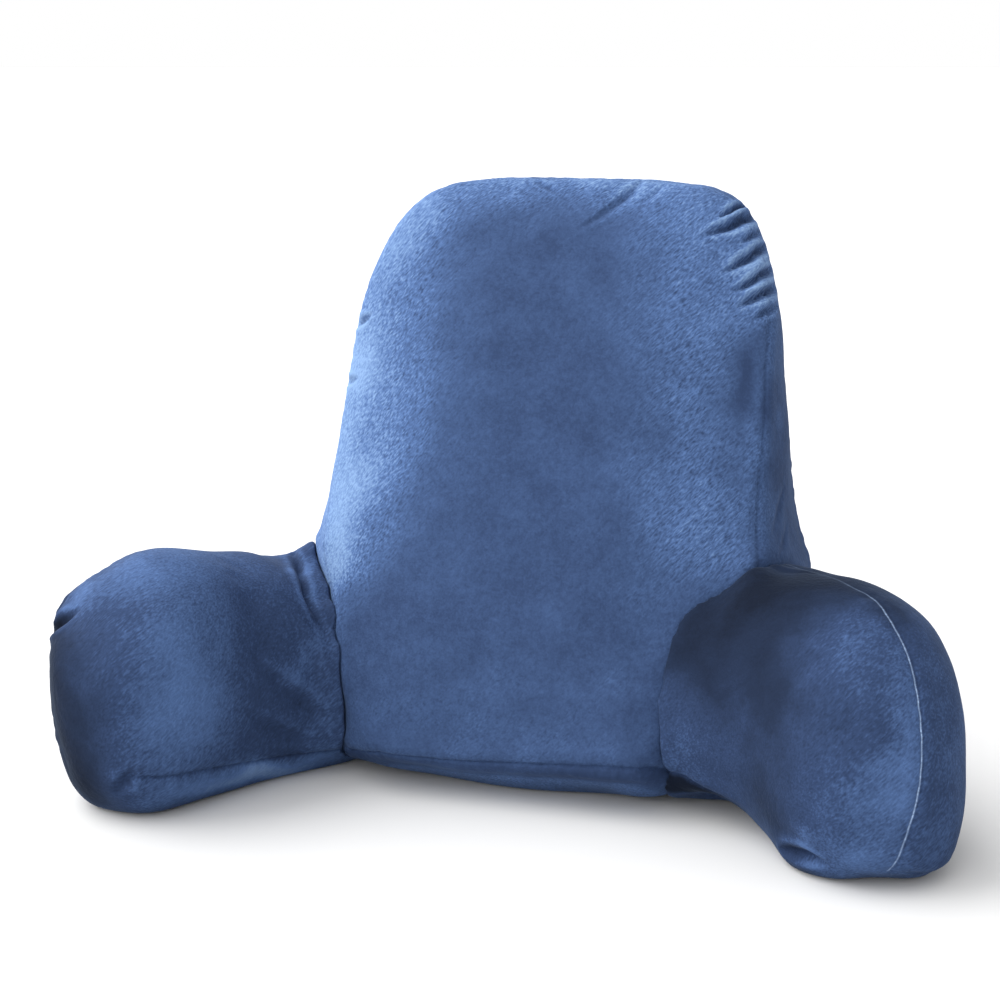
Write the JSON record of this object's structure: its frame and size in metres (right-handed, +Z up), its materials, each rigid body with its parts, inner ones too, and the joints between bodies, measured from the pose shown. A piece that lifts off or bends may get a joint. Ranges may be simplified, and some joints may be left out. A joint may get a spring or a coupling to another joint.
{
  "type": "reading pillow with arms",
  "caption": "Filled backrest pillow with a leaning crowned front, boxed sides and rounded arms that turn forward beside the reader, in short-pile navy plush.",
  "frame": {"origin": "under the middle of the pillow's plan, on the surface that it rests on", "axes": "-Y towards the reader's feet (the side that the front panel faces), +Z up, +X towards the arm on the right as seen from the front"},
  "size_m": [0.6838, 0.3606, 0.4589],
  "materials": {
    "plush_body": "short-pile plush, navy blue",
    "plush_arms": "short-pile plush, navy blue"
  },
  "bodies": {
    "root": {"backrest": "plush_body", "arm_left": "plush_arms", "arm_right": "plush_arms"}
  },
  "joints": []
}
